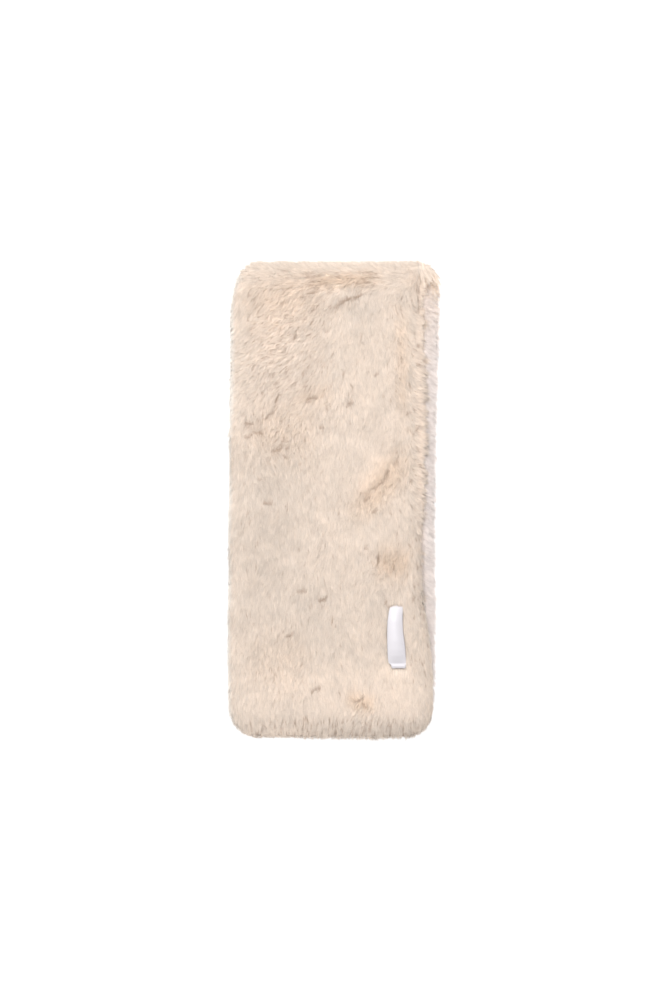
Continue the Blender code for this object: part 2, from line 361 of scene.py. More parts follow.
Patch = namedtuple("Patch", "x y length width turn amount")
PAINTED_LIGHT_PATCHES = [Patch(*row) for row in (  # painted light and shade: paler where the nap leans to the light, darker where it leans away
    (-0.068, -0.05, 0.18, 0.08, 90, -0.055),
    (-0.015, -0.122, 0.07, 0.05, 90, -0.04),
    (0.045, -0.108, 0.03, 0.03, 0, -0.04),
    (-0.06, 0.02, 0.06, 0.05, 0, -0.02),
    (0.028, 0.186, 0.036, 0.026, 17, -0.07),
    (0.09, -0.085, 0.06, 0.012, 90, -0.06),
    (0.041, 0.022, 0.05, 0.024, 60, 0.11),
    (-0.056, 0.166, 0.08, 0.044, 80, 0.07),
    (-0.025, 0.213, 0.05, 0.016, 0, 0.06),
    (0.068, 0.15, 0.06, 0.02, 90, 0.06),
    (0.042, -0.198, 0.09, 0.04, 0, 0.07),
    (-0.035, -0.19, 0.07, 0.034, 0, 0.06),
    (0.067, -0.175, 0.034, 0.018, 0, 0.06),
    (0.018, 0.102, 0.04, 0.02, 0, 0.04),
    (-0.045, -0.235, 0.08, 0.012, 0, 0.07),
    (0.062, -0.235, 0.05, 0.012, 0, -0.06),
)]
WARM_PATCHES = [Patch(*row) for row in (
    (0.008, 0.217, 0.068, 0.018, 3, 1.0),
    (-0.05, 0.2, 0.08, 0.05, 20, 0.45),
    (-0.05, 0.065, 0.07, 0.07, 0, 0.35),
    (-0.02, 0.1, 0.04, 0.02, 10, 0.5),
    (0.07, 0.13, 0.11, 0.014, 90, 0.5),
    (0.048, 0.01, 0.08, 0.03, 50, 0.8),
    (0.06, -0.066, 0.034, 0.03, 0, 1.0),
    (0.028, -0.205, 0.028, 0.018, -20, 0.9),
    (-0.055, -0.16, 0.06, 0.05, 0, 0.25),
)]
RUFFLED_PATCHES = [Patch(*row) for row in (
    (-0.046, 0.165, 0.125, 0.085, 50, 0.9),  # the upper left quarter
    (0.005, 0.216, 0.085, 0.022, 3, 1.0),  # tufts under the fold
    (0.066, 0.16, 0.12, 0.022, 90, 0.7),  # column inside the right edge
    (0.082, 0.065, 0.2, 0.018, 90, 0.8),  # locks on the right edge
    (-0.055, 0.068, 0.085, 0.07, 0, 0.8),
    (0.01, 0.1, 0.06, 0.05, 0, 0.4),
    (0.05, 0.012, 0.08, 0.032, 50, 0.7),
    (0.055, -0.066, 0.045, 0.035, 0, 0.8),
    (-0.06, -0.165, 0.07, 0.055, 0, 0.45),
    (0.03, -0.206, 0.036, 0.022, -20, 0.9),  # whorl by the free end
    (0.088, -0.08, 0.13, 0.014, 90, 0.7),
)]

SWAY = (0.25, 0.014, 3)  # how far the nap sways, over what length, and its seed
SWIRLS = ((0.25, 0.024, 1), (0.22, 0.008, 2))  # the same for its swirls, which ruffling doubles
FOLD_TURN = 0.022  # how far before the fold it starts to turn to the left
COMBED = 0.85  # how far the upper left quarter is combed to the left,
COMBED_ACROSS = (-0.045, 0.025)
COMBED_FROM = (0.05, 0.12)
COMBED_TO = (0.195, 0.215)
EDGE_COMBED = 0.4  # and the left edge
EDGE_ACROSS = (-0.104, -0.088)
LOCK_WAY = (0.66, -0.3, -0.69)  # where the locks of the right edge point, down over the groove
LOCK_FACE = (0.66, -0.28, 0.7)  # and the way their faces look
LOCKS_ACROSS = (0.072, 0.086)  # they start here across the edge,
LOCKS_LEAST = 0.15  # lie over this much at the free end, and wholly from here up,
LOCKS_FULL = (-0.045, 0.01)
LOCKS_TO = (0.218, 0.226)  # and end at the fold, on top of the edge a little before it
LOCKS_TOP_TO = (0.19, 0.21)
LOCKS_TOP = (0.026, 0.031)
CORNER_WAY = (-0.05, -1.0, -0.15)  # the same at the fold's right corner, where the groove ends
CORNER_FACE = (0.25, 0.1, 0.96)
CORNER_ACROSS = (0.076, 0.088)
CORNER_FROM = (0.211, 0.219)
CORNER_LOW = 0.008
CORNER_HIGH = (0.027, 0.031)
CORNER_TURNED = (0.5, 0.9)  # faces that look this far along the wrap are the fold's own
STRIP_X = 0.08  # right of here the pale fur of the lower half shows,
STRIP_TOP = 0.213  # up to here,
STRIP_FACING = 0.1  # where it looks up,
STRIP_WAY = (0.8, -0.6, 0.0)  # brushed this way

EVER, NEVER = (-2.0, -1.0), (1.0, 2.0)  # limits off the wrap
Light = namedtuple("Light", "amount left right low high under")
PAINTED_LIGHTS = [Light(*row) for row in (  # painted light and shade: how much brighter the fur's colour is made, within limits to ease over
    (-0.04, EVER, NEVER, (0.224, 0.236), NEVER, 1.0),  # painted shade where it opens over the fold
    (-0.05, EVER, NEVER, (-0.24, -0.234), (-0.232, -0.212), 1.0),  # painted shade round the free end
    (-0.036, (0.093, 0.099), NEVER, EVER, NEVER, CREASE_Z),  # painted shade on the pale strip, off the groove
    (-0.024, (0.093, 0.099), NEVER, EVER, (0.11, 0.15), CREASE_Z),
    (0.08, (0.083, 0.088), (0.093, 0.097), (-0.06, 0.06), NEVER, 0.031),  # painted light in the groove,
    (0.04, (0.088, 0.0905), (0.094, 0.0965), (-0.1, -0.05), NEVER, 0.031),  # in its locks
    (0.14, (0.086, 0.092), NEVER, (0.203, 0.209), (0.216, 0.221), 0.026),  # and at its end
)]

Region = namedtuple("Region", "left right low high clefts depth turn")
REGIONS = [Region(*row) for row in (  # where the hand leaves many short clefts
    (-0.086, 0.0, 0.1, 0.222, 420, 0.68, 50),
    (-0.028, 0.044, 0.208, 0.226, 120, 0.7, 30),
    (-0.086, -0.02, 0.03, 0.1, 90, 0.65, 30),
    (0.058, 0.084, -0.09, 0.2, 110, 0.6, 80),
    (-0.086, 0.078, -0.225, 0.2, 190, 0.5, 82),
    (-0.092, 0.01, -0.2, 0.04, 200, 0.6, 84),
    (-0.088, 0.086, -0.238, -0.221, 190, 0.8, 90),  # the free end
    (0.078, 0.096, -0.19, -0.03, 70, 0.8, 80),
)]


def soft_noise(places, size, seed):
    """Smooth noise from -1 to 1 at these places, with patches about this size."""
    table = np.random.default_rng(seed).uniform(-1, 1, (NOISE_CELLS,) * 3)
    cell = places / size
    low = np.floor(cell).astype(int)
    part = cell - low
    part = part * part * (3 - 2 * part)
    total = np.zeros(len(places))
    for corner in range(8):
        step = np.array([corner & 1, corner >> 1 & 1, corner >> 2 & 1])
        weight = np.prod(np.where(step, part, 1 - part), axis=1)
        total += weight * table[tuple(((low + step) % NOISE_CELLS).T)]
    return total


class Lie:
    """A map of the upper face: how deep, how warm and how high the fur lies at a place, and how much
    light or shade is painted on it.
    """

    def __init__(self):
        low, high = np.array(solid_box[0][:2]), np.array(solid_box[1][:2])
        self.corner = low - MAP_MARGIN
        self.shape = np.ceil((high - low + 2 * MAP_MARGIN) / MAP_STEP).astype(int)
        x, y = np.meshgrid(*(np.arange(n) * MAP_STEP for n in self.shape), indexing="ij")
        self.x, self.y = x + self.corner[0], y + self.corner[1]
        flat = np.stack([self.x.ravel(), self.y.ravel(), np.zeros(self.x.size)], axis=1)
        aside, along = (WANDER * soft_noise(flat, WANDER_SIZE, seed) for seed in (21, 22))
        self.x, self.y = self.x + aside.reshape(self.shape), self.y + along.reshape(self.shape)
        self.deep, self.warm, self.ruffled = (np.zeros(self.shape) for layer in range(3))
        self.nap, bank = (np.zeros(self.shape) for layer in range(2))
        for cleft in CLEFTS:
            self.press(bank, cleft, BANK_WIDTH, cleft.depth)
        for cleft in self.strands() + self.sprinkled():
            self.press(self.deep, cleft, STRAND_WIDTH, cleft.depth)
            self.press(bank, cleft, BANK_WIDTH / 2, STRAND_BANK * cleft.depth)
        for layer, patches in ((self.warm, WARM_PATCHES), (self.ruffled, RUFFLED_PATCHES)):
            for patch in patches:
                self.press(layer, patch, patch.width / 2, patch.amount)
        # the nap layer holds painted light and shade: the fur's colour is made paler where its nap
        # leans to the light and darker where it leans away
        for patch in PAINTED_LIGHT_PATCHES:
            window, share = self.around(patch, patch.width / 2)
            self.nap[window] += patch.amount * share
        broken = np.clip(1.0 + BREAKS * soft_noise(flat, BREAK_SIZE, 25), BREAK_LEAST, 1)
        self.deep *= broken.reshape(self.shape)
        swell = sum(
            soft_noise(flat, size, seed) * height for size, seed, height in
            ((SWELL_SIZE, 23, SWELL_HEIGHT), (SWELL_SIZE / 3, 24, SWELL_HEIGHT / 3)))
        self.height = swell.reshape(self.shape) - BANK_DEPTH * CLEFT_DEPTH * bank
        self.slope_x, self.slope_y = np.gradient(self.height, MAP_STEP)
        self.push_x, self.push_y = (-BANK_PUSH * side for side in np.gradient(bank, MAP_STEP))

    def strands(self):
        """The strands of every cleft, broken and a little askew."""
        chance = np.random.default_rng(6)
        marks = []
        for cleft in CLEFTS:
            turn = math.radians(cleft.turn)
            for strand in range(CLEFT_STRANDS):
                along = chance.uniform(-STRAND_SHIFT, STRAND_SHIFT) * cleft.length
                across = chance.normal(0, STRAND_SPREAD) * min(1, cleft.length / SHORT_CLEFT)
                x = cleft.x + along * math.cos(turn) - across * math.sin(turn)
                y = cleft.y + along * math.sin(turn) + across * math.cos(turn)
                length = cleft.length * chance.uniform(*STRAND_LENGTHS) + STRAND_MORE
                askew = chance.normal(cleft.turn, STRAND_TURN)
                marks.append(Cleft(x, y, length, askew, cleft.depth * chance.uniform(*STRAND_DEPTHS)))
        return marks

    def sprinkled(self):
        """Short clefts at random, more of them in some regions."""
        chance = np.random.default_rng(7)
        marks = []
        for region in REGIONS:
            for index in range(region.clefts):
                x = chance.uniform(region.left, region.right)
                y = chance.uniform(region.low, region.high)
                depth = region.depth * chance.uniform(*SPRINKLED_DEPTHS)
                length = chance.uniform(*SPRINKLED_LENGTHS)
                marks.append(Cleft(x, y, length, chance.normal(region.turn, SPRINKLED_TURN), depth))
        return marks

    def press(self, layer, mark, width, strength):
        """Press one mark into a layer."""
        window, share = self.around(mark, width)
        layer[window] = np.maximum(layer[window], strength * share)

    def around(self, mark, width):
        """The part of the map round a mark, and the mark's share in it, from 1 in it to 0 beyond it."""
        reach = mark.length + 3 * width
        first = np.maximum(((mark.x - reach, mark.y - reach) - self.corner) // MAP_STEP, 0).astype(int)
        last = ((mark.x + reach, mark.y + reach) - self.corner) // MAP_STEP
        window = tuple(slice(a, int(b) + 1) for a, b in zip(first, last))
        turn = math.radians(mark.turn)
        right, up = self.x[window] - mark.x, self.y[window] - mark.y
        along = right * math.cos(turn) + up * math.sin(turn)
        across = up * math.cos(turn) - right * math.sin(turn)
        return window, np.exp(-(2 * along / mark.length) ** 4 - (across / width) ** 2)

    def read(self, layer, places):
        """A layer's values at these places, none below the upper face."""
        cell = ((places[:, :2] - self.corner) / MAP_STEP).astype(int)
        cell = np.clip(cell, 0, self.shape - 1)
        upper = np.clip((places[:, 2] - UPPER_Z) / UPPER_EASE, 0, 1)
        return layer[cell[:, 0], cell[:, 1]] * upper


lie = Lie()


def eased(value, start, end):
    """Ease from 0 to 1 as value goes from start to end."""
    share = np.clip((value - start) / (end - start), 0, 1)
    return share * share * (3 - 2 * share)


def unit(vectors):
    """The same directions, one long."""
    return vectors / np.maximum(np.linalg.norm(vectors, axis=1, keepdims=True), 1e-9)


def within(value, start, end):
    """1 between two limits, each a range to ease over, and 0 beyond them."""
    return eased(value, *start) * (1 - eased(value, *end))


def outward(places):
    """How far the fur of the right edge is combed off it, down over the groove, 0 to 1."""
    x, y, z = places.T
    stretch = LOCKS_LEAST + (1 - LOCKS_LEAST) * eased(y, *LOCKS_FULL)
    stretch *= (1 - eased(y, *LOCKS_TOP_TO) * eased(z, *LOCKS_TOP)) * (1 - eased(y, *LOCKS_TO))
    return eased(x, *LOCKS_ACROSS) * stretch * (z > CREASE_Z)


def over_corner(places, normals):
    """How far the fur of the fold's right corner is combed down over the end of the groove, 0 to 1."""
    x, y, z = places.T
    side = eased(x, *CORNER_ACROSS) * (z > CORNER_LOW) * (1 - eased(z, *CORNER_HIGH))
    return side * eased(y, *CORNER_FROM) * (1 - eased(normals[:, 1], *CORNER_TURNED))


def on_pale_strip(places, normals):
    """Which of these places are on the strip of the lower half that shows past the upper half."""
    return (places[:, 2] < CREASE_Z) & (places[:, 0] > STRIP_X) & (normals[:, 2] > STRIP_FACING)


def painted_light(places):
    """Painted light and shade: how much brighter or darker the fur's colour is made at these places,
    against the rest.
    """
    x, y, z = places.T
    bright = 1 + lie.read(lie.nap, places)
    for light in PAINTED_LIGHTS:
        share = within(x, light.left, light.right) * within(y, light.low, light.high)
        bright += light.amount * share * (z < light.under)
    return bright


def brushed(places, normals):
    """The way the pile is brushed at these places, along the panel's face.

    Both halves are brushed away from the fold, and on the fold itself the fur lies over to
    the left, so that it opens nowhere.
    """
    x, y, z = places.T
    upper = z > CREASE_Z
    on_fold = np.degrees(np.arctan2(y - FOLD_Y, abs(z - CREASE_Z)))  # 0 on its faces, 90 at its tip
    turn = 0.5 * eased(y, FOLD_Y - FOLD_TURN, FOLD_Y) + 0.5 * eased(on_fold, 0, 80)
    turn = math.pi * np.where(upper, turn, 0) + SWAY[0] * soft_noise(places, *SWAY[1:])
    way = np.zeros_like(places)
    way[:, 0] = -np.sin(turn)
    way[:, 1] = -np.cos(turn)
    over = y > FOLD_Y
    down = np.cross(normals, [1.0, 0.0, 0.0]) * np.where(upper, way[:, 1], 1.0)[:, None]
    way[over] = way[over, :1] * [1.0, 0.0, 0.0] + down[over]
    way[:, 0] -= COMBED * (1 - eased(x, *COMBED_ACROSS)) * within(y, COMBED_FROM, COMBED_TO) * upper
    way[:, 0] -= EDGE_COMBED * (1 - eased(x, *EDGE_ACROSS))
    way[on_pale_strip(places, normals)] = STRIP_WAY
    corner = over_corner(places, normals)[:, None]
    way = unit(way) * (1 - corner) + corner * unit(np.array([CORNER_WAY]))
    swirl = sum(amount * soft_noise(places, size, seed) for amount, size, seed in SWIRLS)
    swirl *= 1 + lie.read(lie.ruffled, places)
    way += swirl[:, None] * np.cross(normals, way)
    way -= normals * (way * normals).sum(axis=1, keepdims=True)
    out = outward(places)[:, None] * (1 - corner)
    return unit(unit(way) * (1 - out) + out * unit(np.array([LOCK_WAY])))


# ------------------------------------------------------------
# The label.  A plain white satin ribbon is sewn down at its upper end, under the fur, and at
# its lower end, where it is turned under in a narrow hem.  It arches over the fur between.
# ------------------------------------------------------------
LABEL_THICK = 0.0006
LABEL_STEPS = 100  # faces along the ribbon, and across it
LABEL_ACROSS = 20
LABEL_EASE = 3  # how many of its sections each one is smoothed over
LABEL_SHARP = math.radians(60)
SATIN = {
    "Base Color": (0.55, 0.527, 0.552, 1.0), "Roughness": 0.42,
    "Specular IOR Level": 0.6, "Sheen Weight": 0.1}
THREADS = {"Scale": 0.314 / 0.00035, "Distortion": 1.5, "Detail": 1.0}  # 0.35 mm apart
THREAD_RELIEF = {"Distance": 0.0001, "Strength": 0.25}

LabelRow = namedtuple("LabelRow", "y left right rise arch")  # rise of its edges over the fur
LABEL_ROWS = [LabelRow(*row) for row in (
    (-0.1688, 0.0592, 0.0725, 0.0, 0.0),  # hem
    (-0.168, 0.0589, 0.0728, 0.001, 0.0001),
    (-0.1655, 0.0587, 0.0729, 0.0015, 0.0001),
    (-0.1645, 0.0572, 0.0731, 0.0001, 0.0003),
    (-0.1635, 0.0559, 0.0731, 0.0003, 0.0007),
    (-0.16, 0.0554, 0.0731, 0.0009, 0.002),
    (-0.156, 0.055, 0.073, 0.0017, 0.0031),
    (-0.15, 0.0546, 0.0726, 0.0024, 0.0038),
    (-0.141, 0.0544, 0.0716, 0.0027, 0.004),
    (-0.131, 0.0544, 0.0703, 0.0023, 0.0037),
    (-0.121, 0.0548, 0.0699, 0.0018, 0.0031),
    (-0.113, 0.056, 0.07, 0.0008, 0.002),
    (-0.108, 0.0572, 0.0701, 0.0001, 0.001),
    (-0.104, 0.058, 0.0701, -0.0018, 0.0005),  # under the fur
)]
LABEL_TOP = -0.1068  # the fur of the panel hides the label from here up


def label_sides(y):
    """The label's left and right sides at these places along it."""
    rows = np.array(LABEL_ROWS)
    return np.interp(y, rows[:, 0], rows[:, 1]), np.interp(y, rows[:, 0], rows[:, 2])


def label_mesh():
    """The ribbon: its two faces through smoothed sections, closed round their border."""
    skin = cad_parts["outer_panel"].data
    skin = BVHTree.FromPolygons([v.co for v in skin.vertices], [p.vertices for p in skin.polygons])
    rows = np.array(LABEL_ROWS)
    y = np.linspace(rows[0, 0], rows[-1, 0], LABEL_STEPS + 1)
    pad = LABEL_EASE // 2
    sections = []
    for column in range(1, 5):
        values = np.interp(y, rows[:, 0], rows[:, column])
        values = np.pad(values, pad, mode="edge")
        sections.append(np.convolve(values, np.ones(LABEL_EASE) / LABEL_EASE, mode="valid"))
    left, right, rise, arch = sections
    across = np.linspace(-1, 1, LABEL_ACROSS + 1)
    points = []
    for row in range(LABEL_STEPS + 1):
        for share in across:
            x = (left[row] + right[row]) / 2 + share * (right[row] - left[row]) / 2
            under = skin.ray_cast((x, y[row], 0.1), (0, 0, -1))[0]
            points.append((x, y[row], under.z + rise[row] + arch[row] * (1 - share * share)))
    wide = LABEL_ACROSS + 1
    count = len(points)
    points += [(x, y, z - LABEL_THICK) for x, y, z in points]
    faces = []
    for row in range(LABEL_STEPS):
        for column in range(LABEL_ACROSS):
            first = row * wide + column
            over = (first, first + 1, first + wide + 1, first + wide)
            faces += [over, tuple(count + corner for corner in reversed(over))]
    border = list(range(wide)) + [wide * (row + 1) - 1 for row in range(1, LABEL_STEPS + 1)]
    border += [count - 1 - column for column in range(1, wide)]
    border += [wide * row for row in range(LABEL_STEPS - 1, 0, -1)]
    for here, after in zip(border, border[1:] + border[:1]):
        faces.append((here, count + here, count + after, after))
    mesh = bpy.data.meshes.new("satin_label")
    mesh.from_pydata(points, [], faces)
    mesh.shade_smooth()
    mesh.set_sharp_from_angle(angle=LABEL_SHARP)
    return mesh


def satin_finish():
    """White satin: close warp threads along the ribbon, with a soft gloss."""
    material, shader, tree = new_finish("label_satin", SATIN)
    place = new_node(tree, "TexCoord", {}).outputs["Object"]
    threads = new_node(tree, "TexWave", {"Vector": place, **THREADS}, bands_direction="X")
    bump = new_node(tree, "Bump", {"Height": threads.outputs["Fac"], **THREAD_RELIEF})
    fill(shader, {"Normal": bump.outputs["Normal"]})
    return material


label = linked("satin_label", label_mesh())
label.data.materials.append(satin_finish())
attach(label, "root")
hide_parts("label")

# ------------------------------------------------------------
# The pile.  Fine acrylic fibres stand in tufts on the backing and lie over along it, so that
# their pale tips cover their deeper roots.  Each part of the wrap is one joined mesh of them.
# ------------------------------------------------------------
SEAM_REACH = 0.0006  # faces this near to the other panel, and turned this far to it, are sewn inside
SEAM_FACING = -0.9
TOP_Z = 0.026  # lowest place of the top, highest of the underside, and how level both are
UNDER_Z = 0.004
LEVEL = 0.4
THIRD_X = 0.035  # where the middle third of the top ends
DENSE_X = 0.076  # right of here the pile of the lower half is denser, and more so from here up
DENSE_Y = 0.195
DENSE_FACING = 0.05
DENSER = 2
FIBRES = 14  # fibres in a tuft
FIBRE_LENGTH = 0.0095
FIBRE_WIDTH = 0.00038
UNEVEN = (0.8, 1.2)  # how tufts differ in length, and fibres in width
ROOT_DEPTH = 0.0018
TUFT_TURN = 0.08  # how far tufts lie askew
TUFT_SPREAD = 0.001  # how far a tuft's fibres stand round its middle, and how much more along it
TUFT_LONGER = 1.5
GATHERED = (0.45, 1.0)  # what is left of that at their tips
FIBRE_ROLL = (0.35, 0.9)  # how far fibres are rolled about their length, and at most
TIP_LIFT = 0.00035  # how far tips stand up, and how much they differ in it
LIFT_CHANCE = 0.0003
Ruffle = namedtuple("Ruffle", "turn length lift gather spread surface")
RUFFLE = Ruffle(0.35, -0.4, 2.2, -0.5, -0.55, -0.35)  # what full ruffling adds to each share
RIM_LEAST = 0.3  # least share of its tuft's rim that a fibre has
RIM_LEFT = 0.0042  # how far the longest fibres stand out of each side,
RIM_UNDER = 0.4  # this share of it on the lower half,
RIM_RIGHT = 0.0066
RIM_GROOVE = 0.0008
RIM_FOLD = 0.0018
RIM_END = 0.0048  # and of the free end, which is worn shorter at its left
WORN = 0.8
WORN_ACROSS = (0.015, 0.05)  # left of the middle
WORN_FACING = -0.3
LOCK_LENGTHS = (1.25, 0.45)  # of the locks over the groove, low on the rolled edge and on its top
LOCK_HEIGHTS = (CREASE_Z, 0.032)
CORNER_LOCK = 1.95  # and at the fold's right corner
LOCK_UNEVEN = 0.65  # how their length differs, and over what distance
LOCK_SIZE = 0.005
LOCK_SQUEEZE = (0.4, 1.0, 0.4)
LOOSE = 0.3  # how much a fibre that reaches an edge keeps on straight,
LOOSE_END = 0.45  # and one that reaches the free end
FLOOR_GAP = 0.0003  # between the table and the lowest fibres
CUT_SHARES = (0.4, 0.95, 7)  # where along a fibre a cleft may cut it short,
CUT_DEEP = 0.45  # how deep the cleft is there at least,
CUT_CHANCE = 0.9
CUT_SHADE = 0.6  # and how far the cut tip takes the cleft's painted shade
LABEL_LAP = 0.0024  # how far the longest fibres lie over the label's top
CELL_CORNERS = np.array([[0.033, 0.1], [0.3, 0.1], [0.167, 0.9]])  # a fibre's on its tuft's map cell
TONE_SIZE = 0.018  # size of the patches that are a little paler or deeper
PATCH_TONES = (0.92, 1.04)
TONES = (0.6, 1.25)  # darkest and brightest tone of a fibre
TUFT_TONE = 0.08  # how far tufts differ in it, and single fibres
FIBRE_TONE = 0.08
BRIGHT_TUFTS = 0.06  # share of tufts with bright tips, and how much brighter they are
BRIGHTER = 0.06
WARMER = (0.97, 0.92, 0.86, 1.0)
BODY = 0.8  # place of the full tone along the fibre's ramp, before its pale wisp of painted light
PAINTED_LIGHT_ROOT = 0.8  # painted light: where the fibres of the sides start on that ramp, as light gets in,
PALE_FACING = (0.15, 1.0)  # how far they face aside for that,
PALE_RIGHT = 0.4  # and how much less at the right
PAINTED_LIGHT_EDGE = 0.55  # painted light: how much paler the fur is made along the left side
PALE_ACROSS = (-0.101, -0.089)
STRIP_RUFFLED = 0.2  # how ruffled the pale fur beside the upper half is,
STRIP_TONE = 0.04  # and how much paler,
STRIP_WARM = 0.4  # but warmer beside the groove and towards the fold
STRIP_COOL = (0.089, 0.096)  # it cools across here
STRIP_WARM_FROM = (0.13, 0.2)
STRIP_LIFT = 0.8  # how far the fibres there, and those of all sides, open to the light above
SIDE_LIFT = 0.6
SURFACE_SHARE = 1.6  # how much more a fibre is shaded by the pelt than by itself,
SHADED_LEAST = 0.05  # as long as that looks at least this far its own way
TRANSLUCENT = 0.4  # share of the light that comes through the fibres
FUR_GLOSS = {  # with a pale gleam where they are seen across their lie
    "Roughness": 0.6, "Specular IOR Level": 0.2, "Sheen Weight": 0.8, "Sheen Roughness": 0.4}


class Pelt:
    """The outer faces of both panels, as a surface that fibres can stand on."""

    def __init__(self, names):
        trees, meshes = {}, {}
        for name in names:
            mesh = welded(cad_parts[name].data)
            bmesh.ops.triangulate(mesh, faces=mesh.faces)
            meshes[name] = mesh
            trees[name] = BVHTree.FromBMesh(mesh)
        points, faces, normals = [], [], []
        for name, mesh in meshes.items():
            other = trees[[n for n in names if n != name][0]]
            sewn = []
            for face in mesh.faces:
                far = other.find_nearest(face.calc_center_median(), SEAM_REACH)
                if far[0] is not None and face.normal.dot(far[1]) < SEAM_FACING:
                    sewn.append(face)
            bmesh.ops.delete(mesh, geom=sewn, context="FACES")
            mesh.normal_update()
            mesh.verts.index_update()
            first = len(points)
            points += [tuple(v.co) for v in mesh.verts]
            normals += [tuple(v.normal) for v in mesh.verts]
            faces += [[first + v.index for v in face.verts] for face in mesh.faces]
            mesh.free()
        self.points = np.array(points)
        self.faces = np.array(faces)
        self.normals = np.array(normals)
        self.tree = BVHTree.FromPolygons(points, faces)
        corner = self.points[self.faces]
        self.cross = np.cross(corner[:, 1] - corner[:, 0], corner[:, 2] - corner[:, 0])
        self.area = np.linalg.norm(self.cross, axis=1) / 2
        self.middle = corner.mean(axis=1)

    def scattered(self, count, chance, wanted):
        """This many places spread at random over the wanted faces, with their normals."""
        share = self.area * wanted
        picked = chance.choice(len(self.faces), count, p=share / share.sum())
        a, b = chance.random(count), chance.random(count)
        over = a + b > 1
        a[over], b[over] = 1 - a[over], 1 - b[over]
        weight = np.stack([1 - a - b, a, b], axis=1)
        return self.blend(picked, weight)

    def blend(self, picked, weight):
        """Places and smooth normals at these shares of these faces' corners."""
        corners = self.faces[picked]
        place = np.einsum("ij,ijk->ik", weight, self.points[corners])
        normal = np.einsum("ij,ijk->ik", weight, self.normals[corners])
        return place, unit(normal)

    def nearest(self, places):
        """The pelt's places nearest to these, with their normals."""
        found = [self.tree.find_nearest(place) for place in places]
        on = np.array([tuple(hit[0]) for hit in found])
        picked = np.array([hit[2] for hit in found])
        a, b, c = (self.points[self.faces[picked, corner]] for corner in range(3))
        whole = np.maximum((self.cross[picked] ** 2).sum(axis=1), 1e-20)
        first = (np.cross(b - on, c - on) * self.cross[picked]).sum(axis=1) / whole
        second = (np.cross(c - on, a - on) * self.cross[picked]).sum(axis=1) / whole
        weight = np.clip(np.stack([first, second, 1 - first - second], axis=1), 0, 1)
        return self.blend(picked, weight / weight.sum(axis=1, keepdims=True))


def fur_tone():
    """Shader group: a fibre's colour from root to body and on to a pale wisp of light painted on the
    sides, warmer where it is marked so, and sunk in clefts towards painted shade, partly the deep
    pile's own colour.
    """
    group, given, result = new_group(
        "fur_tone", ("Root", "Body", "Lit_Wisp", "Sunk_Shade"), {"Color": "NodeSocketColor"})
    fibre = new_node(group, "Attribute", {}, attribute_name="fibre")
    part = new_node(group, "SeparateColor", {"Color": fibre.outputs["Color"]})
    colour = given.outputs["Root"]
    for low, high, further in ((0.0, BODY, "Body"), (BODY, 1.0, "Lit_Wisp")):
        along = ranged(group, part.outputs["Red"], low, high)
        colour = mixed(group, "MIX", along, colour, given.outputs[further])
    place = new_node(group, "TexCoord", {}).outputs["Object"]
    patches = new_node(group, "TexNoise", {"Vector": place, "Scale": 1 / TONE_SIZE})
    for value, range_of in ((patches.outputs["Fac"], PATCH_TONES), (part.outputs["Green"], TONES)):
        tone = {"Value": ranged(group, value, 0.0, 1.0, *range_of), "Color": colour}
        colour = new_node(group, "HueSaturation", tone).outputs["Color"]
    colour = mixed(group, "MULTIPLY", fibre.outputs["Alpha"], colour, WARMER)
    # towards the sunk colour in clefts: painted shade, partly the deep pile's own colour
    colour = mixed(group, "MIX", part.outputs["Blue"], colour, given.outputs["Sunk_Shade"])
    fill(result, {"Color": colour})
    return group


def fur_finish(name, colours):
    """A fur's material, from its fibres' root and body colours, the pale wisp of light painted on the
    sides and the sunk colour of clefts, painted shade partly the deep pile's own, and lit through them.
    """
    material, shader, tree = new_finish(name, FUR_GLOSS)
    colour = placed(tones, tree, colours).outputs["Color"]
    fill(shader, {"Base Color": colour})
    through = new_node(tree, "BsdfTranslucent", {"Color": colour})
    both = {"Fac": TRANSLUCENT, 1: shader.outputs["BSDF"], 2: through.outputs["BSDF"]}
    both = new_node(tree, "MixShader", both)
    fill(tree.nodes["Material Output"], {"Surface": both.outputs["Shader"]})
    return material


def over_label(places):
    """Which of these places lie over the label."""
    left, right = label_sides(places[:, 1])
    x, y = places[:, 0], places[:, 1]
    return (x > left) & (x < right) & (y > LABEL_ROWS[0].y) & (y < LABEL_TOP) & (places[:, 2] > UPPER_Z)


Tufts = namedtuple("Tufts", "root up way ruffled on_strip end end_up face lifted gather tone rim")


